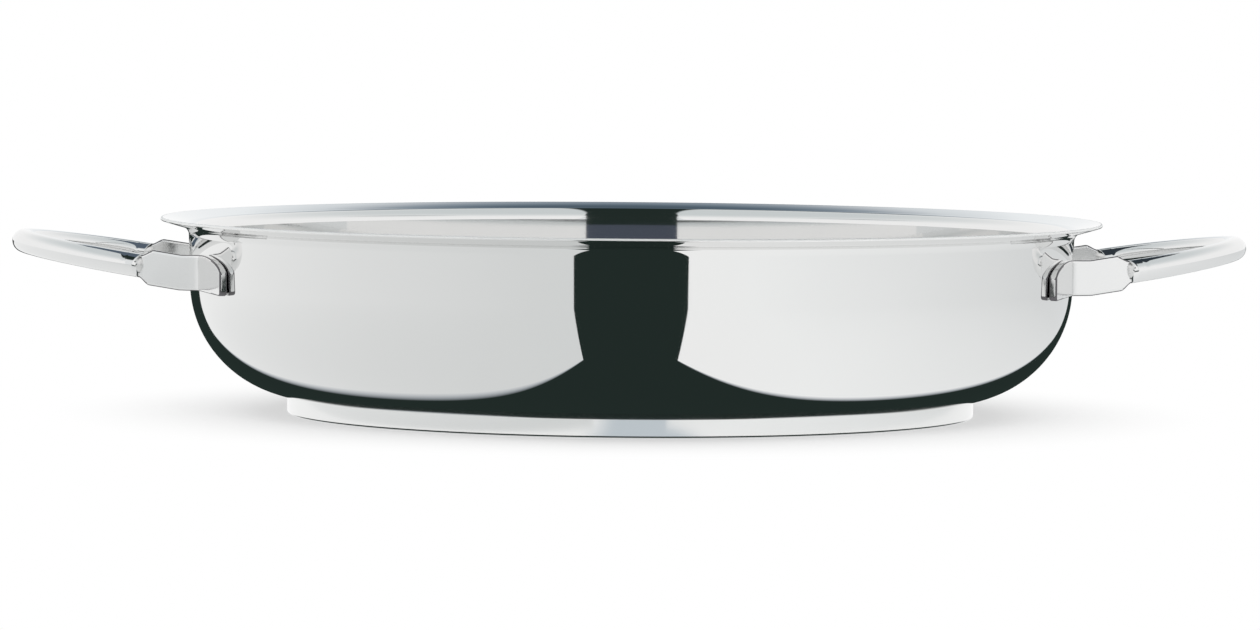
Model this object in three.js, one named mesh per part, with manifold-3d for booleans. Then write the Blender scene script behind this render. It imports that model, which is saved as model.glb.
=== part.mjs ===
// A two-handled steel serving pan, 28 cm across the mouth, standing on its base.
// Millimetres, +Z up. The origin is at the middle of the underside; the handles lie along X.

import * as THREE from 'three';
import { mergeVertices } from 'three/addons/utils/BufferGeometryUtils.js';
import Module from 'manifold-3d';

const wasm = await Module();
wasm.setup();

const { degToRad } = THREE.MathUtils;

// Body: one deep-drawn sheet with an upright wall, a wide lower corner and a pouring lip
const MOUTH_RADIUS = 140;            // inside of the wall where the lip begins to turn out
const BODY_SHEET = 1;                // thickness of the drawn sheet
const WALL_DRAFT = degToRad(1.5);    // lean of the wall, wider at the top
const CORNER_RADIUS = 36.5;          // outside of the sweep between wall and floor
const RIM_HEIGHT = 62;               // top of the lip's edge above the table
const LIP_REACH = 9;                 // lip's edge beyond the outside of the wall
const LIP_SLOPE = degToRad(16);      // rise of the lip from the wall out to its edge
const LIP_BEND = 3;                  // underside radius of the turn from wall to lip

// Base: an aluminium disc under the floor, sealed in a steel cup
const FLOOR_RISE = 5.2;              // underside of the body's floor above the table
const BASE_RADIUS = 109.5;           // outside of the cup
const CUP_SHEET = 0.5;               // thickness of the cup
const CUP_EDGE = 0.7;                // rounding of the cup's lower edge
const CUP_RIM_BEVEL = 0.3;           // bevel round the cup's upper edge
const CORE_CLEARANCE = 0.3;          // gap round the disc inside the cup

// Handles: a round bar bent to a loop, its ends pressed flat, splayed and folded onto the wall
const BAR_DIAMETER = 7.2;
const HANDLE_REACH = 197;            // outermost point of the loop from the pan's axis
const HANDLE_RISE = degToRad(8.9);   // slope of the loop, up and away from the wall
const STRAP_HEIGHT = 11.2;           // height of the flattened end
const STRAP_THICKNESS = 2;
const STRAP_EDGE = 0.5;              // bevel along the edges of the flattened end
const STRAP_MIDDLE = 46;             // middle of the foot above the table
const STRAP_BEND = 3;                // radius of the fold between arm and foot, at mid-thickness
const FOOT_TURN = degToRad(21.7);    // from the handle's mid-plane round to the foot's middle
const FOOT_LENGTH = 18.5;            // foot's flat, which touches the round wall at its middle
const FOOT_DROP = 0.8;               // fall of the foot's lower edge, from the fold to its far end
const FOOT_TOP_RUN = 17;             // sweep of the foot's upper edge, along the foot
const FOOT_TOP_DROP = 7.6;           // sweep of the foot's upper edge, down its far end
const FOOT_LOW_CORNER = 3;           // rounding of the foot's far end, lower corner
const FOOT_SEAT = 0.3;               // weld gap between the foot's middle and the wall
const ARM_CONVERGE = degToRad(6);    // lean of each arm towards the handle's mid-plane
const ARM_LENGTH = 21;               // from the fold to where the bar is fully round
const ARM_SHOULDER = 4.2;            // length over which the flat end narrows to the bar
const TONGUE_TAPER = 1;              // narrowing of the flat end inside the bar, at each edge
const LEAF_RADIUS = 5.9;             // ball that shapes the leaf-like step at the end of the round
const LEAF_OFFSET = 2;               // that ball's centre, beyond the bar's axis
const LOOP_SIDE_PULL = 14;           // how far each side of the loop keeps the arm's direction
const LOOP_TIP_PULL = 18;            // half the stretch over which the loop's outer end runs flat

// Facets
const ROUND_SEGMENTS = 80;           // round the pan
const CORNER_STEPS = 9;
const BEND_STEPS = 5;
const EDGE_STEPS = 4;
const BAR_SIDES = 16;
const LOOP_STEPS = 36;
const BALL_SEGMENTS = 24;

const WALL_OUTSIDE = MOUTH_RADIUS + BODY_SHEET;
const BAR_RADIUS = BAR_DIAMETER / 2;

const polishedSteel = new THREE.MeshStandardMaterial({ color: 0xd3d6d6, roughness: 0.08, metalness: 1 });
const satinSteel = new THREE.MeshStandardMaterial({ color: 0xc4c7c8, roughness: 0.3, metalness: 1 });
const aluminium = new THREE.MeshStandardMaterial({ color: 0xbfc2c4, roughness: 0.5, metalness: 1 });

// A point on a circle, with the angle counted from the radius direction towards the height
function onCircle(centre, radius, angle) {
  return new THREE.Vector2(centre.x + radius * Math.cos(angle), centre.y + radius * Math.sin(angle));
}

function arc(centre, radius, from, to, steps) {
  const points = [];
  for (let i = 0; i <= steps; i += 1) {
    points.push(onCircle(centre, radius, from + ((to - from) * i) / steps));
  }
  return points;
}

// Spins a section of (radius, height) points about the pan's upright axis
function revolve(section) {
  return new THREE.LatheGeometry(section, ROUND_SEGMENTS).rotateX(Math.PI / 2);
}

// The lip's edge is a half round, so its middle lies half a sheet inside reach and height
const lipEdge = new THREE.Vector2(
  WALL_OUTSIDE + LIP_REACH - BODY_SHEET / 2,
  RIM_HEIGHT - BODY_SHEET / 2,
);

// Centre of the turn from wall to lip, touching the wall's outside and the lip's underside
const bendCentre = new THREE.Vector2();
bendCentre.x = WALL_OUTSIDE + LIP_BEND * Math.cos(WALL_DRAFT);
bendCentre.y = lipEdge.y
  - (LIP_BEND + BODY_SHEET / 2) / Math.cos(LIP_SLOPE)
  - (lipEdge.x - bendCentre.x) * Math.tan(LIP_SLOPE);
const wallTop = bendCentre.y + LIP_BEND * Math.sin(WALL_DRAFT);

// Outside radius of the leaning wall at a height
function wallRadius(height) {
  return WALL_OUTSIDE - (wallTop - height) * Math.tan(WALL_DRAFT);
}

const cornerHeight = FLOOR_RISE + CORNER_RADIUS;
const cornerCentre = new THREE.Vector2(
  wallRadius(cornerHeight) - CORNER_RADIUS / Math.cos(WALL_DRAFT),
  cornerHeight,
);

function panBody() {
  const down = -Math.PI / 2;
  const wallSide = -WALL_DRAFT;
  const bendStart = Math.PI - WALL_DRAFT;
  const bendEnd = Math.PI / 2 + LIP_SLOPE;
  const section = [
    new THREE.Vector2(0, FLOOR_RISE),
    ...arc(cornerCentre, CORNER_RADIUS, down, wallSide, CORNER_STEPS),
    ...arc(bendCentre, LIP_BEND, bendStart, bendEnd, BEND_STEPS),
    ...arc(lipEdge, BODY_SHEET / 2, LIP_SLOPE + down, LIP_SLOPE - down, EDGE_STEPS),
    ...arc(bendCentre, LIP_BEND + BODY_SHEET, bendEnd, bendStart, BEND_STEPS),
    ...arc(cornerCentre, CORNER_RADIUS - BODY_SHEET, wallSide, down, CORNER_STEPS),
    new THREE.Vector2(0, FLOOR_RISE + BODY_SHEET),
  ];
  return revolve(section);
}

function baseCup() {
  const edgeCentre = new THREE.Vector2(BASE_RADIUS - CUP_EDGE, CUP_EDGE);
  const section = [
    new THREE.Vector2(0, 0),
    ...arc(edgeCentre, CUP_EDGE, -Math.PI / 2, 0, EDGE_STEPS),
    new THREE.Vector2(BASE_RADIUS, FLOOR_RISE - CUP_RIM_BEVEL),
    new THREE.Vector2(BASE_RADIUS - CUP_RIM_BEVEL, FLOOR_RISE),
    new THREE.Vector2(BASE_RADIUS - CUP_SHEET, FLOOR_RISE),
    ...arc(edgeCentre, CUP_EDGE - CUP_SHEET, 0, -Math.PI / 2, EDGE_STEPS),
    new THREE.Vector2(0, CUP_SHEET),
  ];
  return revolve(section);
}

function baseCore() {
  const outside = BASE_RADIUS - CUP_SHEET - CORE_CLEARANCE;
  const edgeRounding = CUP_EDGE - CUP_SHEET;
  const edgeCentre = new THREE.Vector2(outside - edgeRounding, CUP_SHEET + edgeRounding);
  const section = [
    new THREE.Vector2(0, CUP_SHEET),
    ...arc(edgeCentre, edgeRounding, -Math.PI / 2, 0, EDGE_STEPS),
    new THREE.Vector2(outside, FLOOR_RISE),
    new THREE.Vector2(0, FLOOR_RISE),
  ];
  return revolve(section);
}

// A closed three.js geometry as a solid that can be joined and cut
function toSolid(geometry) {
  const bare = geometry.clone();
  bare.deleteAttribute('normal');
  bare.deleteAttribute('uv');
  const merged = mergeVertices(bare);
  const vertProperties = new Float32Array(merged.attributes.position.array);
  const triVerts = new Uint32Array(merged.index.array);
  return new wasm.Manifold(new wasm.Mesh({ numProp: 3, vertProperties, triVerts }));
}

function toGeometry(solid) {
  const mesh = solid.getMesh();
  const geometry = new THREE.BufferGeometry();
  geometry.setAttribute('position', new THREE.BufferAttribute(new Float32Array(mesh.vertProperties), 3));
  geometry.setIndex(new THREE.BufferAttribute(new Uint32Array(mesh.triVerts), 1));
  geometry.computeVertexNormals();
  return geometry;
}

// Skins a row of like rings, with flat caps on the first and the last
function loft(rings) {
  const sides = rings[0].length;
  const last = (rings.length - 1) * sides;
  const index = [];
  for (let r = 0; r + 1 < rings.length; r += 1) {
    for (let k = 0; k < sides; k += 1) {
      const a = r * sides + k;
      const b = r * sides + ((k + 1) % sides);
      index.push(a, b, b + sides, a, b + sides, a + sides);
    }
  }
  for (let k = 1; k + 1 < sides; k += 1) {
    index.push(0, k + 1, k, last, last + k, last + k + 1);
  }
  return new THREE.BufferGeometry().setFromPoints(rings.flat()).setIndex(index);
}

// The handle is worked out on the +X side, for the strap on its +Y side
const strapTop = STRAP_MIDDLE + STRAP_HEIGHT / 2;
const footRadius = wallRadius(strapTop) + FOOT_SEAT + STRAP_THICKNESS / 2;
const footNormal = new THREE.Vector2(Math.cos(FOOT_TURN), Math.sin(FOOT_TURN));
const footDirection = new THREE.Vector2(-footNormal.y, footNormal.x);
const armDirection = new THREE.Vector2(Math.cos(ARM_CONVERGE), -Math.sin(ARM_CONVERGE));
const foldCentre = footPoint(-FOOT_LENGTH / 2).addScaledVector(footNormal, STRAP_BEND);
const armStart = onCircle(foldCentre, STRAP_BEND, -ARM_CONVERGE - Math.PI / 2);

// A point on the foot's mid-thickness, at a distance from its middle towards its far end
function footPoint(distance) {
  return footNormal.clone().multiplyScalar(footRadius).addScaledVector(footDirection, distance);
}

function armPoint(distance) {
  return armStart.clone().addScaledVector(armDirection, distance);
}

// Height of the bar's axis, which climbs from the wall to the tip of the loop
function axisHeight(x) {
  return STRAP_MIDDLE + Math.max(0, x - footRadius) * Math.tan(HANDLE_RISE);
}

function lifted(point) {
  return new THREE.Vector3(point.x, point.y, axisHeight(point.x));
}

// Distance from the leaf ball's centre back to the leaf's two points on the bar
const leafHalfHeight = Math.sqrt(BAR_RADIUS ** 2 - (STRAP_THICKNESS / 2) ** 2);
const leafBack = Math.sqrt(LEAF_RADIUS ** 2 - (STRAP_THICKNESS / 2 + LEAF_OFFSET) ** 2 - leafHalfHeight ** 2);
const shoulderEnd = ARM_LENGTH - leafBack;
const shoulderStart = shoulderEnd - ARM_SHOULDER;

// Half height of the flat end along the arm: a humped shoulder, then a tongue inside the bar
function armHalfHeight(distance) {
  const wide = STRAP_HEIGHT / 2;
  const along = THREE.MathUtils.clamp((distance - shoulderStart) / ARM_SHOULDER, 0, 1);
  const blend = (1 + Math.cos(Math.PI * along)) / 2;
  const inside = Math.max(0, distance - shoulderEnd) / (ARM_LENGTH - shoulderEnd);
  return leafHalfHeight + (wide - leafHalfHeight) * blend - TONGUE_TAPER * Math.min(1, inside);
}

// Eight-sided ring across the strap: a flat section whose bevels take at most half of its height
function strapRing(middle, normal, low, high) {
  const half = STRAP_THICKNESS / 2;
  const bevel = Math.min(STRAP_EDGE, (high - low) / 2 / 2);
  const outline = [
    [-half, low + bevel],
    [-half + bevel, low],
    [half - bevel, low],
    [half, low + bevel],
    [half, high - bevel],
    [half - bevel, high],
    [-half + bevel, high],
    [-half, high - bevel],
  ];
  return outline.map(([across, height]) => new THREE.Vector3(
    middle.x + normal.x * across,
    middle.y + normal.y * across,
    height,
  ));
}

// Drop of an oval corner at a distance from the strap's end
function cornerDrop(run, drop, distance) {
  const left = Math.max(0, 1 - distance / run);
  return drop * (1 - Math.sqrt(1 - left ** 2));
}

// The flattened end from the foot's far end, round the fold, along the arm and into the bar
function strap() {
  const rings = [];
  const footStops = [];
  for (let i = 0; i <= CORNER_STEPS; i += 1) {
    footStops.push(FOOT_TOP_RUN * (1 - Math.cos((Math.PI / 2) * (i / CORNER_STEPS))));
  }
  for (const stop of footStops) {
    const lowerEdge = strapTop - STRAP_HEIGHT - FOOT_DROP * (1 - stop / FOOT_LENGTH);
    rings.push(strapRing(
      footPoint(FOOT_LENGTH / 2 - stop),
      footNormal,
      lowerEdge + cornerDrop(FOOT_LOW_CORNER, FOOT_LOW_CORNER, stop),
      strapTop - cornerDrop(FOOT_TOP_RUN, FOOT_TOP_DROP, stop),
    ));
  }
  const foldFrom = FOOT_TURN + Math.PI;
  const foldTo = (Math.PI * 3) / 2 - ARM_CONVERGE;
  for (let i = 0; i <= BEND_STEPS; i += 1) {
    const angle = foldFrom + ((foldTo - foldFrom) * i) / BEND_STEPS;
    const middle = onCircle(foldCentre, STRAP_BEND, angle);
    const height = axisHeight(middle.x);
    rings.push(strapRing(
      middle,
      new THREE.Vector2(-Math.cos(angle), -Math.sin(angle)),
      height - STRAP_HEIGHT / 2,
      height + STRAP_HEIGHT / 2,
    ));
  }
  const armNormal = new THREE.Vector2(-armDirection.y, armDirection.x);
  const armStops = [];
  for (let i = 0; i <= CORNER_STEPS; i += 1) {
    armStops.push(shoulderStart + (ARM_SHOULDER * i) / CORNER_STEPS);
  }
  armStops.push(ARM_LENGTH);
  for (const stop of armStops) {
    const middle = armPoint(stop);
    const height = axisHeight(middle.x);
    const half = armHalfHeight(stop);
    rings.push(strapRing(middle, armNormal, height - half, height + half));
  }
  return toSolid(loft(rings));
}

// The round bar: straight off each arm, then round the loop through its tip
function bar() {
  const tip = HANDLE_REACH - BAR_RADIUS;
  const start = armPoint(shoulderStart);
  const round = armPoint(ARM_LENGTH);
  const side = armPoint(ARM_LENGTH + LOOP_SIDE_PULL);
  const end = new THREE.Vector2(tip, LOOP_TIP_PULL);
  const mirrored = (point) => new THREE.Vector2(point.x, -point.y);
  const path = new THREE.CurvePath();
  path.add(new THREE.LineCurve3(lifted(mirrored(start)), lifted(mirrored(round))));
  path.add(new THREE.CubicBezierCurve3(
    lifted(mirrored(round)),
    lifted(mirrored(side)),
    lifted(mirrored(end)),
    lifted(new THREE.Vector2(tip, 0)),
  ));
  path.add(new THREE.CubicBezierCurve3(
    lifted(new THREE.Vector2(tip, 0)),
    lifted(end),
    lifted(side),
    lifted(round),
  ));
  path.add(new THREE.LineCurve3(lifted(round), lifted(start)));
  const circle = new THREE.Shape().absarc(0, 0, BAR_RADIUS, 0, Math.PI * 2);
  return toSolid(new THREE.ExtrudeGeometry(circle, {
    steps: LOOP_STEPS,
    curveSegments: BAR_SIDES / 2,
    extrudePath: path,
  }));
}

// What the press leaves of the round at one end: two balls meet in a blunt nose on the flat end
function noseCutter() {
  const room = ARM_LENGTH + BAR_DIAMETER;
  const centre = lifted(armPoint(ARM_LENGTH));
  const across = new THREE.Vector3(-armDirection.y, armDirection.x, 0);
  const balls = [-1, 1].map((side) => {
    const ball = new THREE.SphereGeometry(LEAF_RADIUS, BALL_SEGMENTS, BALL_SEGMENTS / 2);
    const middle = centre.clone().addScaledVector(across, side * LEAF_OFFSET);
    return toSolid(ball.translate(middle.x, middle.y, middle.z));
  });
  const block = new THREE.BoxGeometry(room, room, room)
    .translate(-room / 2, 0, 0)
    .rotateY(-HANDLE_RISE)
    .rotateZ(-ARM_CONVERGE)
    .translate(centre.x, centre.y, centre.z);
  return toSolid(block).subtract(balls[0].intersect(balls[1]));
}

function handle() {
  const mirrorPlane = [0, 1, 0];
  const cutter = noseCutter();
  const flatEnd = strap();
  const loop = bar().subtract(cutter).subtract(cutter.mirror(mirrorPlane));
  return toGeometry(loop.add(flatEnd).add(flatEnd.mirror(mirrorPlane)));
}

function piece(name, geometry, material) {
  const mesh = new THREE.Mesh(geometry, material);
  mesh.name = name;
  return mesh;
}

const pan = new THREE.Group();
pan.add(piece('pan_body', panBody(), polishedSteel));
pan.add(piece('base_core', baseCore(), aluminium));
pan.add(piece('base_cup', baseCup(), satinSteel));

const handleGeometry = handle();
pan.add(piece('right_handle', handleGeometry, polishedSteel));
const leftHandle = piece('left_handle', handleGeometry, polishedSteel.clone());
leftHandle.rotation.z = Math.PI;
pan.add(leftHandle);

export default pan;
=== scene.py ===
"""A two-handled steel serving pan on a pale studio floor. Metres, +Z up, handles along X."""

import math

import bpy
from mathutils import Matrix, Vector


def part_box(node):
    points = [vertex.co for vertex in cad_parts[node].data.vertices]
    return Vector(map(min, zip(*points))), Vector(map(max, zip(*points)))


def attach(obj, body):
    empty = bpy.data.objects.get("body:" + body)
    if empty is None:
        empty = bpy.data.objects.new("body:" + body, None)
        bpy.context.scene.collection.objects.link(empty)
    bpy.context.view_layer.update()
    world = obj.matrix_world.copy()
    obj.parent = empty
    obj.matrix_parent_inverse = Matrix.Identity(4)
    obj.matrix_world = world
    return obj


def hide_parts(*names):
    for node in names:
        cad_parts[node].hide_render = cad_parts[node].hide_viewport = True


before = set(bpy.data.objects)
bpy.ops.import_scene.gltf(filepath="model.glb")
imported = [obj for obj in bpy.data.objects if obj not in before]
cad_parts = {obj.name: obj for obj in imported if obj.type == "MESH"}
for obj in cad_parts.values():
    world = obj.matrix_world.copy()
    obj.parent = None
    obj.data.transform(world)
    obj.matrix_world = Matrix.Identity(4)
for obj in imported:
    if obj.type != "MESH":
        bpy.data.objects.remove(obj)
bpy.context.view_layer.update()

# Pan body
# One stainless sheet, deep-drawn to an upright wall with a wide lower corner and a flared pouring lip.
# The outside and the lip are buffed to a mirror; the inside keeps a fine satin brushed round the axis.
body_low, body_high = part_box("pan_body")
floor_rise = body_low.z
sheet = 0.001
wall_draft = math.radians(1.5)
corner_radius = 0.0365
lip_reach = 0.009
lip_slope = math.radians(16)
lip_bend = 0.003
lip_crown = 0.00005
wall_outside = body_high.x - lip_reach
lip_edge = (body_high.x - sheet / 2, body_high.z - sheet / 2)
bend_x = wall_outside + lip_bend * math.cos(wall_draft)
lip_run = lip_edge[0] - bend_x
bend_drop = (lip_bend + sheet / 2) / math.cos(lip_slope) + lip_run * math.tan(lip_slope)
bend_centre = (bend_x, lip_edge[1] - bend_drop)
wall_top = bend_centre[1] + lip_bend * math.sin(wall_draft)


def wall_radius(height):
    """Outside radius of the leaning wall at a height."""
    return wall_outside - (wall_top - height) * math.tan(wall_draft)


corner_height = floor_rise + corner_radius
corner_centre = (wall_radius(corner_height) - corner_radius / math.cos(wall_draft), corner_height)
straight_down = -math.pi / 2
straight_up = math.pi / 2


def arc(centre, radius, start, end, steps, hollow=False):
    """A round stretch of a section as (radius, height, facing); its surface looks along the facing angle."""
    points = []
    for i in range(steps + 1):
        angle = start + (end - start) * i / steps
        facing = angle + math.pi if hollow else angle
        points.append((centre[0] + radius * math.cos(angle), centre[1] + radius * math.sin(angle), facing))
    return points


def crowned(start, end, bulge, steps):
    """The points between two ends of a nearly straight stretch that swells by a bulge on its left side."""
    run = math.hypot(end[0] - start[0], end[1] - start[1])
    along = math.atan2(end[1] - start[1], end[0] - start[0])
    points = []
    for i in range(1, steps):
        t = i / steps
        rise = 4 * bulge * t * (1 - t)
        turn = math.atan(4 * bulge * (1 - 2 * t) / run)
        x = start[0] + run * t * math.cos(along) - rise * math.sin(along)
        y = start[1] + run * t * math.sin(along) + rise * math.cos(along)
        points.append((x, y, along + turn + straight_up))
    return points


round_spokes = 256


def spin(name, section):
    """A piece turned about the upright axis from its section; a point on the axis closes it."""
    vertices = []
    facings = []
    circles = []
    for radius, height, facing in section:
        circle = []
        for k in range(round_spokes if radius else 1):
            turn = math.tau * k / round_spokes
            circle.append(len(vertices))
            vertices.append((radius * math.cos(turn), radius * math.sin(turn), height))
            out = math.cos(facing)
            facings.append((out * math.cos(turn), out * math.sin(turn), math.sin(facing)))
        circles.append(circle)
    faces = []
    for low, high in zip(circles, circles[1:]):
        for k in range(round_spokes):
            n = (k + 1) % round_spokes
            corners = [low[k % len(low)], low[n % len(low)], high[n % len(high)], high[k % len(high)]]
            faces.append(list(dict.fromkeys(corners)))
    mesh = bpy.data.meshes.new(name)
    mesh.from_pydata(vertices, [], faces)
    mesh.shade_smooth()
    mesh.normals_split_custom_set_from_vertices(facings)
    piece = bpy.data.objects.new(name, mesh)
    bpy.context.collection.objects.link(piece)
    return piece


wall_facing = -wall_draft
bend_start = math.pi - wall_draft
bend_end = straight_up + lip_slope
corner_steps = 48
bend_steps = 16
edge_steps = 12
lip_steps = 8
outer_skin = [
    (0, floor_rise, straight_down),
    *arc(corner_centre, corner_radius, straight_down, wall_facing, corner_steps),
    *arc(bend_centre, lip_bend, bend_start, bend_end, bend_steps, hollow=True),
]
edge_round = arc(lip_edge, sheet / 2, lip_slope + straight_down, lip_slope + straight_up, edge_steps)
mouth_bend = arc(bend_centre, lip_bend + sheet, bend_end, bend_start, bend_steps)
lip_top = crowned(mouth_bend[0], edge_round[-1], lip_crown, lip_steps)[::-1]
outside_section = outer_skin + edge_round + lip_top + mouth_bend
inside_section = [
    *arc(corner_centre, corner_radius - sheet, wall_facing, straight_down, corner_steps, hollow=True),
    (0, floor_rise + sheet, straight_up),
]
pan = spin("drawn_body", outside_section + inside_section)


def node_group(name, inputs, outputs):
    """An empty shader node group; each input is (name, kind, default)."""
    group = bpy.data.node_groups.new(name, "ShaderNodeTree")
    for label, kind, default in inputs:
        socket = group.interface.new_socket(label, in_out="INPUT", socket_type=kind)
        socket.default_value = default
    for label, kind in outputs:
        group.interface.new_socket(label, in_out="OUTPUT", socket_type=kind)
    return group


def feed(tree, socket, value):
    """Gives an input socket a plain value, or links another socket to it."""
    if isinstance(value, bpy.types.NodeSocket):
        tree.links.new(value, socket)
    else:
        socket.default_value = value


def math_node(tree, operation, *values):
    """A Math node whose inputs are numbers or other sockets; gives its output socket."""
    node = tree.nodes.new("ShaderNodeMath")
    node.operation = operation
    for socket, value in zip(node.inputs, values):
        feed(tree, socket, value)
    return node.outputs[0]


def remapped(tree, value, low, high, start=0.0, end=1.0, easing="SMOOTHSTEP"):
    """A socket's value taken from between low and high to between start and end."""
    node = tree.nodes.new("ShaderNodeMapRange")
    node.interpolation_type = easing
    settings = {"Value": value, "From Min": low, "From Max": high, "To Min": start, "To Max": end}
    for label, setting in settings.items():
        feed(tree, node.inputs[label], setting)
    return node.outputs["Result"]


def blended(tree, factor, first, second):
    """One colour mixed into another; each is a socket or plain values."""
    node = tree.nodes.new("ShaderNodeMix")
    node.data_type = "RGBA"
    tree.links.new(factor, node.inputs["Factor"])
    for label, colour in (("A", first), ("B", second)):
        feed(tree, node.inputs[label], (*colour, 1) if isinstance(colour, tuple) else colour)
    return node.outputs["Result"]


def make_round_lines():
    """Fine lines that run round the upright axis, as a polishing or brushing wheel leaves them."""
    group = node_group(
        "round_lines",
        [("Lines per metre", "NodeSocketFloat", 4000.0), ("Breaks per turn", "NodeSocketFloat", 9.0)],
        [("Lines", "NodeSocketFloat")],
    )
    source = group.nodes.new("NodeGroupInput")
    density = source.outputs["Lines per metre"]
    breaks = source.outputs["Breaks per turn"]
    place = group.nodes.new("ShaderNodeTexCoord")
    axes = group.nodes.new("ShaderNodeSeparateXYZ")
    group.links.new(place.outputs["Object"], axes.inputs[0])
    x, y, z = axes.outputs
    squares = math_node(group, "MULTIPLY_ADD", y, y, math_node(group, "MULTIPLY", x, x))
    radius = math_node(group, "SQRT", squares)
    turn = math_node(group, "ARCTAN2", y, x)
    across = group.nodes.new("ShaderNodeCombineXYZ")
    for socket, (value, rate) in zip(across.inputs, ((radius, density), (z, density), (turn, breaks))):
        group.links.new(math_node(group, "MULTIPLY", value, rate), socket)
    noise = group.nodes.new("ShaderNodeTexNoise")
    noise.inputs["Scale"].default_value = 1.0
    noise.inputs["Detail"].default_value = 3.0
    group.links.new(across.outputs[0], noise.inputs["Vector"])
    sink = group.nodes.new("NodeGroupOutput")
    group.links.new(noise.outputs["Fac"], sink.inputs["Lines"])
    return group


def make_steel_tone():
    """Slow drift between two tones of one metal, with wiped patches that dull the polish a little."""
    group = node_group(
        "steel_tone",
        [
            ("Light tone", "NodeSocketColor", (0.85, 0.85, 0.84, 1)),
            ("Dark tone", "NodeSocketColor", (0.80, 0.80, 0.79, 1)),
            ("Patches per metre", "NodeSocketFloat", 14.0),
        ],
        [("Tone", "NodeSocketColor"), ("Wiped", "NodeSocketFloat")],
    )
    source = group.nodes.new("NodeGroupInput")
    place = group.nodes.new("ShaderNodeTexCoord")
    noise = group.nodes.new("ShaderNodeTexNoise")
    noise.inputs["Detail"].default_value = 4.0
    noise.inputs["Roughness"].default_value = 0.6
    group.links.new(source.outputs["Patches per metre"], noise.inputs["Scale"])
    group.links.new(place.outputs["Object"], noise.inputs["Vector"])
    patches = noise.outputs["Fac"]
    sink = group.nodes.new("NodeGroupOutput")
    tone = blended(group, patches, source.outputs["Light tone"], source.outputs["Dark tone"])
    group.links.new(tone, sink.inputs["Tone"])
    group.links.new(patches, sink.inputs["Wiped"])
    return group


round_lines = make_round_lines()
steel_tone = make_steel_tone()
faintest_line = 0.1
strongest_line = 0.45
line_depth = 0.0001
quarter_turn = 0.25


def metal(name, light, dark, roughness, lines, relief=0.0, grain=0.0):
    """A metal finish. roughness is its (smoothest, roughest); lines is (per metre, breaks per turn)."""
    material = bpy.data.materials.new(name)
    material.use_nodes = True
    tree = material.node_tree
    shader = tree.nodes["Principled BSDF"]
    shader.inputs["Metallic"].default_value = 1.0
    tone = tree.nodes.new("ShaderNodeGroup")
    tone.node_tree = steel_tone
    tone.inputs["Light tone"].default_value = (*light, 1)
    tone.inputs["Dark tone"].default_value = (*dark, 1)
    tree.links.new(tone.outputs["Tone"], shader.inputs["Base Color"])
    marks = tree.nodes.new("ShaderNodeGroup")
    marks.node_tree = round_lines
    marks.inputs["Lines per metre"].default_value = lines[0]
    marks.inputs["Breaks per turn"].default_value = lines[1]
    dulling = math_node(tree, "MULTIPLY", marks.outputs["Lines"], tone.outputs["Wiped"])
    dulled = remapped(tree, dulling, faintest_line, strongest_line, *roughness, easing="LINEAR")
    tree.links.new(dulled, shader.inputs["Roughness"])
    if relief:
        bump = tree.nodes.new("ShaderNodeBump")
        bump.inputs["Strength"].default_value = relief
        bump.inputs["Distance"].default_value = line_depth
        tree.links.new(marks.outputs["Lines"], bump.inputs["Height"])
        tree.links.new(bump.outputs["Normal"], shader.inputs["Normal"])
    if grain:
        tangent = tree.nodes.new("ShaderNodeTangent")
        tangent.direction_type = "RADIAL"
        tangent.axis = "Z"
        shader.inputs["Anisotropic"].default_value = grain
        shader.inputs["Anisotropic Rotation"].default_value = quarter_turn
        tree.links.new(tangent.outputs["Tangent"], shader.inputs["Tangent"])
    return material


pan_finishes = [
    metal("mirror_polish", (0.84, 0.84, 0.835), (0.81, 0.81, 0.805), (0.015, 0.05), (3000, 6)),
    metal("brushed_inside", (0.66, 0.665, 0.66), (0.60, 0.605, 0.60), (0.09, 0.14), (6000, 12), relief=0.01),
    metal("ground_edge", (0.97, 0.97, 0.965), (0.93, 0.93, 0.925), (0.6, 0.75), (3000, 6)),
]
for finish in pan_finishes:
    pan.data.materials.append(finish)
polished, brushed, ground = range(3)
ground_start = len(outer_skin) + edge_steps // 3
ground_end = len(outer_skin) + edge_steps
for polygon in pan.data.polygons:
    stretch = polygon.index // round_spokes
    if stretch >= len(outside_section):
        polygon.material_index = brushed
    elif ground_start <= stretch < ground_end:
        polygon.material_index = ground
    else:
        polygon.material_index = polished
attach(pan, "root")
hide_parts("pan_body")

# Heat-spreading base
# An aluminium disc is bonded under the floor and sealed in a thin stainless cup pressed over it.
# The cup's side and underside are turned on a lathe, which leaves fine rings.
cup_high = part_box("base_cup")[1]
cup_sheet = 0.0005
cup_edge = 0.0007
cup_rim = 0.0002
rim_raise = 0.00055
inner_rim_facing = math.radians(135)
cup_top = cup_high.z + rim_raise
edge_centre = (cup_high.x - cup_edge, cup_edge)
rim_centre = (cup_high.x - cup_rim, cup_top - cup_rim)
cup_section = [
    (0, 0, straight_down),
    *arc(edge_centre, cup_edge, straight_down, 0, edge_steps),
    *arc(rim_centre, cup_rim, 0, straight_up, edge_steps),
    (cup_high.x - cup_sheet, cup_top, inner_rim_facing),
    *arc(edge_centre, cup_edge - cup_sheet, 0, straight_down, edge_steps, hollow=True),
    (0, cup_sheet, straight_up),
]
cup = spin("turned_cup", cup_section)
turned_satin = metal(
    "turned_satin",
    (0.83, 0.835, 0.83),
    (0.79, 0.795, 0.79),
    (0.09, 0.15),
    (5000, 3),
    relief=0.004,
    grain=0.9,
)
cup.data.materials.append(turned_satin)
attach(cup, "root")
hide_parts("base_cup")

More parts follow.
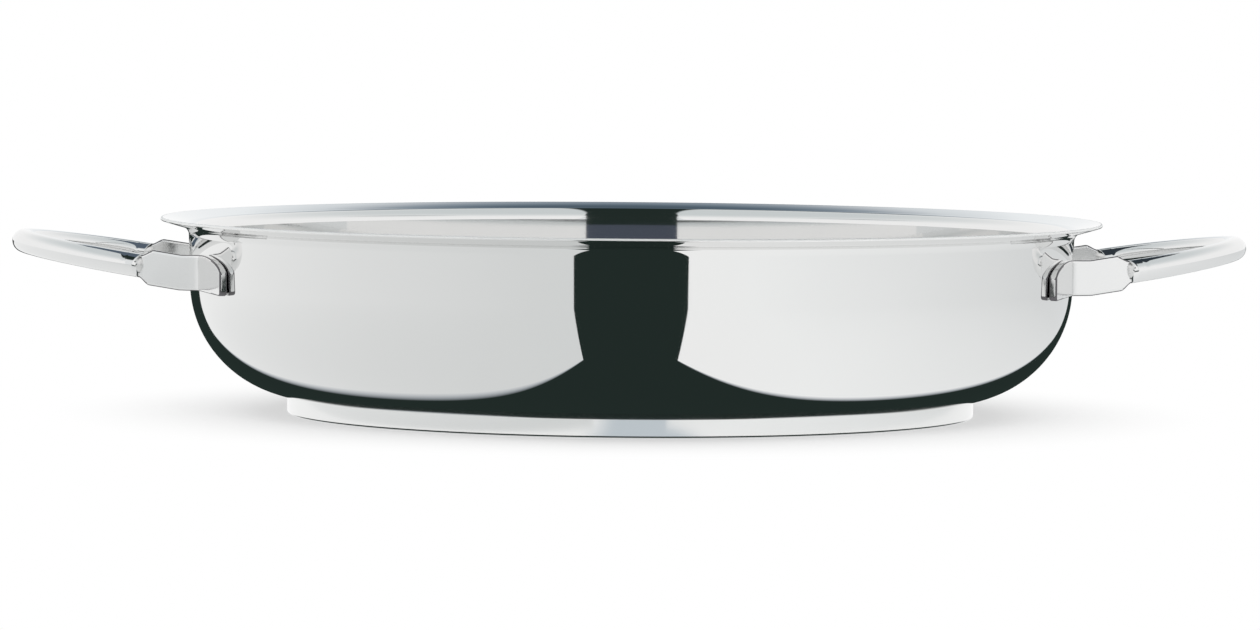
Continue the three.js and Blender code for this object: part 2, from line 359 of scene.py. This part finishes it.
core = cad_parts["base_core"]
core.data.materials.clear()
rolled_aluminium = metal(
    "rolled_aluminium", (0.76, 0.77, 0.78), (0.68, 0.69, 0.70), (0.38, 0.55), (1500, 30), relief=0.1
)
core.data.materials.append(rolled_aluminium)

# Handles
# Each is one round stainless bar bent to a loop, with both ends pressed flat and folded onto the wall.
# Where the press stopped, the round ends in a leaf-shaped step; the feet are welded to the wall.
# The narrow pressed edges carry a painted dark reflection; the undersides and the faces at the foot's end
# carry painted shade.
bar_radius = 0.0036
handle_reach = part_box("right_handle")[1].x
handle_rise = math.radians(8.9)
strap_height = 0.0112
strap_thickness = 0.002
strap_edge = 0.0005
strap_middle = 0.046
strap_bend = 0.003
foot_turn = math.radians(21.7)
foot_length = 0.0185
foot_drop = 0.0008
foot_top_run = 0.017
foot_top_drop = 0.0052
foot_top_power = 1.8
foot_low_corner = 0.0014
foot_seat = 0.0003
weld_fill = 0.00025
weld_taper = 0.004
weld_end_fill = 0.0003
arm_converge = math.radians(6)
arm_length = 0.021
arm_shoulder = 0.0042
tongue_taper = 0.001
leaf_radius = 0.0059
leaf_offset = 0.002
loop_side_pull = 0.014
loop_tip_pull = 0.018

strap_half = strap_thickness / 2
strap_half_height = strap_height / 2
strap_top = strap_middle + strap_half_height
strap_low = strap_middle - strap_half_height
foot_radius = wall_radius(strap_top) + foot_seat + strap_half
foot_normal = Vector((math.cos(foot_turn), math.sin(foot_turn)))
foot_direction = Vector((-foot_normal.y, foot_normal.x))
arm_direction = Vector((math.cos(arm_converge), -math.sin(arm_converge)))
fold_centre = foot_normal * (foot_radius + strap_bend) - foot_direction * foot_length / 2
fold_start = foot_turn + math.pi
fold_end = math.pi * 3 / 2 - arm_converge
arm_start = fold_centre + strap_bend * Vector((math.cos(fold_end), math.sin(fold_end)))
leaf_half_height = math.sqrt(bar_radius ** 2 - strap_half ** 2)
leaf_back = math.sqrt(leaf_radius ** 2 - (strap_half + leaf_offset) ** 2 - leaf_half_height ** 2)
shoulder_end = arm_length - leaf_back
shoulder_start = shoulder_end - arm_shoulder
upright = Vector((0, 0, 1))
loop_up = Vector((-math.sin(handle_rise), 0, math.cos(handle_rise)))


def lifted(point):
    """A point of the handle's plan on the plane that climbs from the wall to the loop's tip."""
    climb = max(0, point.x - foot_radius) * math.tan(handle_rise)
    return Vector((point.x, point.y, strap_middle + climb))


def corner_drop(run, drop, distance, power=2):
    """Drop of an oval corner at a distance from the end of the foot; a power under 2 makes it leaner."""
    left = max(0, 1 - distance / run)
    return drop * (1 - (1 - left ** power) ** (1 / power))


def strap_reach(angle, half_thickness, half_height):
    """From the middle of the flat section out to its round-edged outline."""
    across = abs(math.cos(angle))
    rise = abs(math.sin(angle))
    rounding = min(strap_edge, half_height / 2, half_thickness / 2)
    flat_across = half_thickness - rounding
    flat_rise = half_height - rounding
    if rise * half_thickness <= flat_rise * across:
        return half_thickness / across
    if across * half_height <= flat_across * rise:
        return half_height / rise
    along = across * flat_across + rise * flat_rise
    aside = flat_across ** 2 + flat_rise ** 2 - along ** 2
    return along + math.sqrt(max(0, rounding ** 2 - aside))


def nose_reach(angle, back):
    """From the bar's axis out to the blunt nose that the press leaves, at a distance behind its middle."""
    square = leaf_radius ** 2 - back ** 2 - (leaf_offset * math.sin(angle)) ** 2
    return max(0, math.sqrt(max(0, square)) - leaf_offset * abs(math.cos(angle)))


def arm_half_height(distance):
    """Half height of the flat end along the arm: a humped shoulder, then a tongue inside the bar."""
    along = min(1, max(0, (distance - shoulder_start) / arm_shoulder))
    hump = (1 + math.cos(math.pi * along)) / 2
    inside = max(0, distance - shoulder_end) / (arm_length - shoulder_end)
    spread = (strap_half_height - leaf_half_height) * hump
    return leaf_half_height + spread - tongue_taper * min(1, inside)


handle_finishes_and_shade = [
    metal("handle_polish", (0.86, 0.86, 0.855), (0.80, 0.80, 0.80), (0.03, 0.08), (900, 40)),
    # The second finish is painted: a dark reflection on the pressed edges and painted shade underneath.
    metal("painted_dark_edge", (0.18, 0.175, 0.18), (0.12, 0.115, 0.125), (0.12, 0.22), (900, 40)),
    metal("pressed_flat", (0.86, 0.86, 0.855), (0.81, 0.81, 0.81), (0.09, 0.16), (900, 40)),
]
bar_finish, edge_painted_shade, flat_finish = range(3)


def strap_finish_and_shade(angle, half_thickness, half_height, ending=False):
    """Finish of a point of the flat section, with painted dark shade on edges and underneath, and on faces
    at the ending.
    """
    across = abs(math.cos(angle))
    rise = abs(math.sin(angle))
    on_face = rise * half_thickness <= (half_height - strap_edge) * across
    if on_face:
        return edge_painted_shade if ending else flat_finish
    on_top = across * half_height <= (half_thickness - strap_edge) * rise and math.sin(angle) >= 0
    return flat_finish if on_top else edge_painted_shade


bar_spokes = 128


def ring(middle, outward, up, reach, slimness=1.0, finish=lambda angle: bar_finish):
    """Points round a section, each with its finish or painted shade; slimness gathers them towards the
    edges.
    """
    points = []
    for k in range(bar_spokes):
        turn = math.tau * k / bar_spokes
        angle = math.atan2(slimness * math.sin(turn), math.cos(turn))
        place = middle + reach(angle) * (math.cos(angle) * outward + math.sin(angle) * up)
        points.append((place, finish(angle)))
    return points


least_slimness = 0.3


def flat_ring(middle, outward, half_thickness, half_height, ending=False):
    """An upright section of the flat end; ending is whether it lies in the rounding of the foot's end."""
    return ring(
        middle,
        outward,
        upright,
        lambda angle: strap_reach(angle, half_thickness, half_height),
        max(least_slimness, half_height / half_thickness),
        lambda angle: strap_finish_and_shade(angle, half_thickness, half_height, ending),
    )


def foot_rings(steps):
    """The foot along the wall, from its far end to the fold."""
    rings = []
    for i in range(steps + 1):
        stop = foot_top_run * (1 - math.cos(math.pi / 2 * i / steps))
        low = strap_low - foot_drop * (1 - stop / foot_length)
        low += corner_drop(foot_low_corner, foot_low_corner, stop)
        high = strap_top - corner_drop(foot_top_run, foot_top_drop, stop, foot_top_power)
        fill = weld_fill * min(1, (foot_top_run - stop) / weld_taper)
        fill += weld_end_fill * max(0, 1 - 2 * stop / foot_length) ** 2
        half_thickness = strap_half + fill / 2 - corner_drop(strap_edge, strap_edge, stop)
        place = foot_normal * (foot_radius - fill / 2) + foot_direction * (foot_length / 2 - stop)
        middle = Vector((place.x, place.y, (low + high) / 2))
        half_height = (high - low) / 2
        rings.append(flat_ring(middle, foot_normal.to_3d(), half_thickness, half_height, stop < strap_edge))
    return rings


def fold_rings(steps):
    """The fold that turns the flat end away from the wall."""
    rings = []
    for i in range(steps + 1):
        angle = fold_start + (fold_end - fold_start) * i / steps
        towards = Vector((math.cos(angle), math.sin(angle)))
        middle = lifted(fold_centre + strap_bend * towards)
        rings.append(flat_ring(middle, -towards.to_3d(), strap_half, strap_half_height))
    return rings


def arm_rings(flat_steps, shoulder_steps, leaf_steps):
    """The straight arm: flat, then the shoulder, then the leaf-shaped step where the round begins."""
    stops = [shoulder_start * i / flat_steps for i in range(1, flat_steps + 1)]
    stops += [shoulder_start + arm_shoulder * i / shoulder_steps for i in range(1, shoulder_steps + 1)]
    stops += [shoulder_end + leaf_back * i / leaf_steps for i in range(1, leaf_steps + 1)]
    climb = math.tan(handle_rise) * arm_direction.x
    towards_wall = Vector((-arm_direction.x, -arm_direction.y, -climb)).normalized()
    rings = []
    for stop in stops:
        tilt = handle_rise * min(1, stop / shoulder_start)
        up = Vector((-math.sin(tilt), 0, math.cos(tilt)))
        outward = towards_wall.cross(up).normalized()
        half_height = arm_half_height(stop) * math.cos(handle_rise) / math.cos(handle_rise - tilt)
        back = (arm_length - stop) / math.cos(handle_rise)

        def reach(angle):
            nose = min(bar_radius, nose_reach(angle, back))
            return max(nose, strap_reach(angle, strap_half, half_height))

        def finish(angle):
            return strap_finish_and_shade(angle, strap_half, half_height) if stop < shoulder_end else bar_finish

        middle = lifted(arm_start + arm_direction * stop)
        rings.append(ring(middle, outward, up, reach, half_height / strap_half, finish))
    return rings


def curve_point(pulls, t):
    """A point on the curve of four pulls, the first and last of which it meets."""
    shares = [(1 - t) ** 3, 3 * t * (1 - t) ** 2, 3 * t ** 2 * (1 - t), t ** 3]
    return sum((s * p for s, p in zip(shares, pulls)), Vector.Fill(len(pulls[0])))


def loop_rings(steps):
    """The round bar from the end of the arm to the loop's tip."""
    tip = handle_reach - bar_radius
    pulls = [
        lifted(arm_start + arm_direction * arm_length),
        lifted(arm_start + arm_direction * (arm_length + loop_side_pull)),
        lifted(Vector((tip, loop_tip_pull))),
        lifted(Vector((tip, 0))),
    ]
    rings = []
    for i in range(1, steps + 1):
        t = i / steps
        middle = curve_point(pulls, t)
        pace = [(1 - t) ** 2, 2 * t * (1 - t), t ** 2]
        heading = sum((s * (b - a) for s, a, b in zip(pace, pulls, pulls[1:])), Vector()).normalized()
        outward = loop_up.cross(heading).normalized()
        rings.append(ring(middle, outward, loop_up, lambda angle: bar_radius))
    return rings


def mirrored(points):
    """A section of the handle's other half."""
    return [(Vector((p.x, -p.y, p.z)), finish) for p, finish in points]


half_handle = [
    *foot_rings(steps=64),
    *fold_rings(steps=20),
    *arm_rings(flat_steps=6, shoulder_steps=36, leaf_steps=24),
    *loop_rings(steps=44),
]
handle_sections = half_handle + [mirrored(points) for points in reversed(half_handle[:-1])]
sharp_above = math.radians(40)


def make_handle(name, node, turn):
    """A handle skinned over its sections and turned about the pan's axis to its side."""
    vertices = [point for points in handle_sections for point, finish in points]
    finishes_and_shade = [finish for points in handle_sections for point, finish in points]
    last = len(handle_sections) - 1
    faces = []
    for r in range(last):
        a = r * bar_spokes
        b = a + bar_spokes
        for k in range(bar_spokes):
            n = (k + 1) % bar_spokes
            faces.append((a + k, b + k, b + n, a + n))
    for start, way in ((0, 1), (last * bar_spokes, -1)):
        middle = len(vertices)
        vertices.append(sum(vertices[start:start + bar_spokes], Vector()) / bar_spokes)
        finishes_and_shade.append(flat_finish)
        for k in range(bar_spokes):
            pair = (start + k, start + (k + 1) % bar_spokes)
            faces.append((middle, *pair[::way]))
    mesh = bpy.data.meshes.new(name)
    mesh.from_pydata(vertices, [], faces)
    mesh.transform(Matrix.Rotation(turn, 4, "Z"))
    mesh.shade_smooth()
    mesh.set_sharp_from_angle(angle=sharp_above)
    handle = bpy.data.objects.new(name, mesh)
    bpy.context.collection.objects.link(handle)
    for finish in handle_finishes_and_shade:
        mesh.materials.append(finish)
    # Faces on the edges, the undersides and the foot's end take the painted dark shade.
    for polygon in mesh.polygons:
        around = {finishes_and_shade[v] for v in polygon.vertices}
        polygon.material_index = bar_finish if bar_finish in around else max(around)
    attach(handle, "root")
    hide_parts(node)


make_handle("right_bar", "right_handle", 0)
make_handle("left_bar", "left_handle", math.pi)

# Studio floor
# A pale paper floor that keeps the pan's soft shadow and runs out to plain white all round.
# The polished steel sees it as a lit panel on each side of the pan, each brightest at its left end, and
# painted shade under the base.
plain_white = (1.0, 1.0, 1.0)
floor_half = 12.0
floor_tone = (0.93, 0.93, 0.93)
floor_roughness = 0.9
floor_gloss = 0.1
shadow_near = 0.11
shadow_far = 0.19
shadow_whiteness = 0.55
# The floor under the base is darker to reflections: painted shade.
under_base_painted_shade = (0.6, 0.61, 0.61)
panel_tones = [
    (0.0, (0.98, 0.98, 0.98)),
    (0.166, (0.95, 0.955, 0.955)),
    (0.433, (0.755, 0.77, 0.77)),
    (0.495, (0.74, 0.76, 0.76)),
    (0.505, (1.0, 1.0, 1.0)),
    (0.567, (0.99, 1.0, 1.0)),
    (0.818, (0.77, 0.785, 0.79)),
    (1.0, (0.72, 0.74, 0.75)),
]


def flat_mesh(name, corners, faces):
    """A flat thing of the studio."""
    mesh = bpy.data.meshes.new(name)
    mesh.from_pydata(corners, [], faces)
    thing = bpy.data.objects.new(name, mesh)
    bpy.context.collection.objects.link(thing)
    return thing


def ramp_colour(tree, share, stops):
    """The colour at a share from 0 to 1 along (position, colour) stops."""
    node = tree.nodes.new("ShaderNodeValToRGB")
    elements = node.color_ramp.elements
    while len(elements) < len(stops):
        elements.new(1.0)
    for element, (position, colour) in zip(elements, stops):
        element.position = position
        element.color = (*colour, 1)
    tree.links.new(share, node.inputs["Fac"])
    return node.outputs["Color"]


def mix_surface(tree, share, first, second):
    """Makes a material's surface a mix of two shaders."""
    mix = tree.nodes.new("ShaderNodeMixShader")
    tree.links.new(share, mix.inputs["Fac"])
    tree.links.new(first, mix.inputs[1])
    tree.links.new(second, mix.inputs[2])
    tree.links.new(mix.outputs["Shader"], tree.nodes["Material Output"].inputs["Surface"])


def make_floor_paper():
    """Matt paper near the pan, plain white further off, and the panels with painted shade under the base to
    whatever is mirrored.
    """
    paper = bpy.data.materials.new("floor_paper")
    paper.use_nodes = True
    tree = paper.node_tree
    matt = tree.nodes["Principled BSDF"]
    matt.inputs["Base Color"].default_value = (*floor_tone, 1)
    matt.inputs["Roughness"].default_value = floor_roughness
    matt.inputs["Specular IOR Level"].default_value = floor_gloss
    place = tree.nodes.new("ShaderNodeTexCoord")
    away = tree.nodes.new("ShaderNodeVectorMath")
    away.operation = "LENGTH"
    tree.links.new(place.outputs["Object"], away.inputs[0])
    distance = away.outputs["Value"]
    axes = tree.nodes.new("ShaderNodeSeparateXYZ")
    tree.links.new(place.outputs["Object"], axes.inputs[0])
    forward = math_node(tree, "MULTIPLY", axes.outputs["Y"], -1.0)
    round_pan = math_node(tree, "ARCTAN2", axes.outputs["X"], forward)
    turn_share = math_node(tree, "MULTIPLY_ADD", round_pan, 1 / math.tau, 0.5)
    panels = ramp_colour(tree, turn_share, panel_tones)
    # Under the base, reflections see painted shade.
    under_base = math_node(tree, "LESS_THAN", distance, cup_high.x)
    mirrored_tone = blended(tree, under_base, panels, under_base_painted_shade)
    path = tree.nodes.new("ShaderNodeLightPath")
    straight = path.outputs["Is Camera Ray"]
    white = tree.nodes.new("ShaderNodeEmission")
    tree.links.new(blended(tree, straight, mirrored_tone, plain_white), white.inputs["Color"])
    fade = remapped(tree, distance, shadow_near, shadow_far, shadow_whiteness)
    far_off = math_node(tree, "MULTIPLY", straight, fade)
    glossy = path.outputs["Is Glossy Ray"]
    passed = path.outputs["Is Transmission Ray"]
    whiteness = math_node(tree, "MAXIMUM", far_off, math_node(tree, "MAXIMUM", glossy, passed))
    mix_surface(tree, whiteness, matt.outputs["BSDF"], white.outputs["Emission"])
    return paper


floor = flat_mesh(
    "studio_floor",
    [(x * floor_half, y * floor_half, 0) for x, y in ((-1, -1), (1, -1), (1, 1), (-1, 1))],
    [(0, 1, 2, 3)],
)
floor.data.materials.append(make_floor_paper())

# Dark floor card
# A dark card that lies round the pan on the floor and runs out to the front and the back.
# Only reflections see it, as a painted dark reflection: the dark round the wall's lower corner and the band
# between the panels.
view_turn = Matrix.Rotation(math.radians(-2.4), 4, "Z")
dark_green = (0.018, 0.028, 0.025)
soft_blue = (0.20, 0.26, 0.36)
gap_height = 0.0002
front_far = -2.4
front_spread = 0.26
near_pulls = {
    -1: ((0.019, -0.152), (0.0421, -0.0886), (0.0898, -0.1315), (0.1808, 0.0608)),
    1: ((0.019, -0.152), (0.0521, -0.0869), (0.1141, -0.1126), (0.1752, 0.0744)),
}
near_steps = 60
back_far = 2.3
back_spread = {-1: 0.529, 1: 0.314}
soft_width = {-1: 0.005, 1: 0.0025}
crisp_width = 0.001
glint_fade = 0.0002
glint_steepness = (0.18, 0.30)
glint_slant = (0.09, 0.21)
glint_blue = (0.60, 0.66, 0.71)


def glow_material(name, colour):
    """A material that only shines."""
    material = bpy.data.materials.new(name)
    material.use_nodes = True
    tree = material.node_tree
    tree.nodes.remove(tree.nodes["Principled BSDF"])
    glow = tree.nodes.new("ShaderNodeEmission")
    glow.inputs["Color"].default_value = (*colour, 1)
    tree.links.new(glow.outputs["Emission"], tree.nodes["Material Output"].inputs["Surface"])
    return material


def show_in_reflections(thing, material):
    """Gives a thing of the studio its material and hides it from all but reflections."""
    thing.data.materials.append(material)
    thing.visible_camera = False
    thing.visible_diffuse = False
    thing.visible_shadow = False


def card(name, corners, faces, colour):
    """A studio card that only reflections see, placed as the camera looks at the pan."""
    thing = flat_mesh(name, [view_turn @ Vector(c) for c in corners], faces)
    show_in_reflections(thing, glow_material(name, colour))
    return thing


def see_through(tree, cover):
    """Lets rays through a card where its cover is under 1."""
    clear = tree.nodes.new("ShaderNodeBsdfTransparent")
    mix_surface(tree, cover, clear.outputs["BSDF"], tree.nodes["Emission"].outputs["Emission"])


def gap_side(side):
    """One side of the dark card, from the camera to the back, as (inner, outer) points."""
    pulls = [Vector(p) for p in near_pulls[side]]
    first = pulls[0]
    last = pulls[-1]
    front = Vector((first.x + front_spread * (first.y - front_far), front_far))
    back = Vector((last.x + back_spread[side] * (back_far - last.y), back_far))
    stations = [(front, crisp_width)]
    for i in range(near_steps + 1):
        t = i / near_steps
        stations.append((curve_point(pulls, t), crisp_width + soft_width[side] * math.sin(math.pi * t)))
    stations.append((back, crisp_width))
    points = []
    for place, width in stations:
        outward = place.normalized() * width / 2
        points.append([(side * p.x, p.y, gap_height) for p in (place - outward, place + outward)])
    return points


def shade_gap(tree):
    """Dark within, blue and clear at the sides, and a pale glint to the low side of the base."""
    depth = tree.nodes.new("ShaderNodeAttribute")
    depth.attribute_name = "depth"
    path = tree.nodes.new("ShaderNodeLightPath")
    glancing = tree.nodes.new("ShaderNodeLayerWeight")
    steepness = math_node(tree, "SUBTRACT", 1.0, glancing.outputs["Facing"])
    seen_from = math_node(tree, "MULTIPLY", path.outputs["Ray Length"], steepness)
    low_down = remapped(tree, seen_from, cup_top, cup_top + glint_fade, 1.0, 0.0)
    shallow = remapped(tree, steepness, *glint_steepness, 1.0, 0.0)
    glint = math_node(tree, "MULTIPLY", low_down, shallow)
    place = tree.nodes.new("ShaderNodeTexCoord")
    axes = tree.nodes.new("ShaderNodeSeparateXYZ")
    tree.links.new(place.outputs["Object"], axes.inputs[0])
    slant = math_node(tree, "ABSOLUTE", math_node(tree, "DIVIDE", axes.outputs["X"], axes.outputs["Y"]))
    glint_colour = blended(tree, remapped(tree, slant, *glint_slant), glint_blue, plain_white)
    gap_colour = blended(tree, depth.outputs["Fac"], soft_blue, dark_green)
    tree.links.new(blended(tree, glint, gap_colour, glint_colour), tree.nodes["Emission"].inputs["Color"])
    see_through(tree, depth.outputs["Fac"])


gap_corners = []
gap_depths = []
for left, right in zip(gap_side(-1), gap_side(1)):
    gap_corners += [left[1], left[0], right[0], right[1]]
    gap_depths += [0.0, 1.0, 1.0, 0.0]
gap_faces = []
for row in range(0, len(gap_corners) - 4, 4):
    for corner in range(row, row + 3):
        gap_faces.append((corner, corner + 1, corner + 5, corner + 4))
gap = card("dark_gap", gap_corners, gap_faces, dark_green)
gap.data.attributes.new("depth", "FLOAT", "POINT").data.foreach_set("value", gap_depths)
shade_gap(gap.data.materials[0].node_tree)

# Mouth cards
# Two narrow dark cards, one on top of the other, that stand over the pan's middle.
# Only reflections see them: they are the dark patch in the far side of the mouth, bluish lower down.
mouth_half = 0.0149
mouth_split = 0.0562
mouth_rows = {
    "mouth_low": [(0.048, mouth_half), (mouth_split, mouth_half)],
    "mouth_high": [
        (mouth_split, mouth_half),
        (0.08, mouth_half),
        (0.135, 0.0168),
        (0.238, 0.0242),
        (0.33, 0.031),
    ],
}
mouth_tones = {"mouth_low": (0.068, 0.08, 0.105), "mouth_high": dark_green}
for name, rows in mouth_rows.items():
    corners = [(side * half, 0, height) for height, half in rows for side in (-1, 1)]
    faces = [(i, i + 1, i + 3, i + 2) for i in range(0, len(corners) - 2, 2)]
    card(name, corners, faces, mouth_tones[name])

# Handle cards
# A dark card lies over each handle and gives its bars a dark streak that thins out towards the tip.
# Only reflections from close by see it, which keeps the streak off the far side of the lip.
bar_card_height = 0.20
bar_card_near = 0.10
bar_card_far = 0.21
bar_card_back = 0.13
bar_card_outer_front = 0.06
seen_within = 0.235
seen_fade = 0.015


def bar_card(name, side, inner_front, colour):
    """The card over the handle on one side, 1 being the right; inner_front is its front beside the pan."""
    outline = [
        (bar_card_near, inner_front),
        (bar_card_far, bar_card_outer_front),
        (bar_card_far, bar_card_back),
        (bar_card_near, bar_card_back),
    ]
    shade = card(name, [(side * x, y, bar_card_height) for x, y in outline], [(0, 1, 2, 3)], colour)
    tree = shade.data.materials[0].node_tree
    length = tree.nodes.new("ShaderNodeLightPath").outputs["Ray Length"]
    see_through(tree, remapped(tree, length, seen_within, seen_within + seen_fade, 1.0, 0.0))


bar_card("right_bar_card", 1, inner_front=-0.31, colour=(0.03, 0.04, 0.05))
bar_card("left_bar_card", -1, inner_front=-0.16, colour=(0.10, 0.13, 0.17))

# Dome and room
# A white dome stands over the floor, with a dark strip that runs overhead from the back to the front.
# Only reflections see it: the strip is the dark middle of the lip. The room beyond it is plain white.
dome_radius = 6.0
dome_steps = 32
strip_tones = [
    (0.00, (1.0, 1.0, 1.0)),
    (0.104, (0.90, 0.93, 0.95)),
    (0.144, (0.70, 0.74, 0.77)),
    (0.159, (0.50, 0.54, 0.58)),
    (0.169, (0.32, 0.37, 0.42)),
    (0.182, (0.18, 0.23, 0.28)),
    (0.192, (0.10, 0.14, 0.18)),
    (0.22, (0.04, 0.055, 0.06)),
    (0.28, dark_green),
    (0.72, dark_green),
    (0.77, (0.85, 0.87, 0.88)),
]
strip_widening = 0.30
strip_narrowing = -0.042
strip_soft = 0.006
low_strip_half = 0.13
low_strip_end = (0.215, 0.25)
side_dimming = (0.35, 0.9)
side_overhead = (0.68, 0.72, 0.73)


def shade_dome(tree):
    """The strip's tones from the back over the top to the front, and white sides that dim overhead."""
    place = tree.nodes.new("ShaderNodeTexCoord")
    unit = tree.nodes.new("ShaderNodeVectorMath")
    unit.operation = "NORMALIZE"
    tree.links.new(place.outputs["Object"], unit.inputs[0])
    axes = tree.nodes.new("ShaderNodeSeparateXYZ")
    tree.links.new(unit.outputs["Vector"], axes.inputs[0])
    x, y, z = axes.outputs
    over = math_node(tree, "DIVIDE", math_node(tree, "ARCTAN2", z, y), math.pi)
    strip = ramp_colour(tree, over, strip_tones)
    high_half = math_node(tree, "MULTIPLY_ADD", over, strip_widening, strip_narrowing)
    edge = math_node(tree, "MAXIMUM", high_half, remapped(tree, over, *low_strip_end, low_strip_half, 0.0))
    inner = math_node(tree, "SUBTRACT", edge, strip_soft)
    outer = math_node(tree, "ADD", edge, strip_soft)
    beyond = remapped(tree, math_node(tree, "ABSOLUTE", x), inner, outer)
    sides = blended(tree, remapped(tree, z, *side_dimming), plain_white, side_overhead)
    tree.links.new(blended(tree, beyond, strip, sides), tree.nodes["Emission"].inputs["Color"])


dome_section = arc((0, 0), dome_radius, 0, straight_up, dome_steps)
dome_section[-1] = (0, dome_radius, straight_up)
dome = spin("studio_dome", dome_section)
dome.matrix_world = view_turn
show_in_reflections(dome, glow_material("studio_dome", plain_white))
shade_dome(dome.data.materials[0].node_tree)

world = bpy.data.worlds.new("white_room")
bpy.context.scene.world = world
world.use_nodes = True
surround = world.node_tree.nodes["Background"]
surround.inputs["Color"].default_value = (*plain_white, 1)
surround.inputs["Strength"].default_value = 1.0

# Camera
# A long lens almost level with the rim, turned a little so that the right handle lies further off.
photo_width = 1260
focal_pixels = 6035.3
camera_distance = 1.9255
camera_height = 0.1372
camera_pitch = math.radians(3.1485)
camera_roll = math.radians(0.464)
aim_aside = math.radians(0.0085)
camera_data = bpy.data.cameras.new("photo_camera")
camera_data.sensor_width = 36.0
camera_data.lens = focal_pixels / photo_width * camera_data.sensor_width
camera = bpy.data.objects.new("photo_camera", camera_data)
bpy.context.collection.objects.link(camera)
stand = view_turn @ Vector((0, -camera_distance, camera_height))
aside = Matrix.Rotation(aim_aside, 4, "Z")
level = Matrix.Rotation(math.pi / 2 - camera_pitch, 4, "X")
lean = Matrix.Rotation(camera_roll, 4, "Z")
camera.matrix_world = Matrix.Translation(stand) @ view_turn @ aside @ level @ lean
bpy.context.scene.camera = camera
bpy.context.scene.view_settings.view_transform = "Standard"
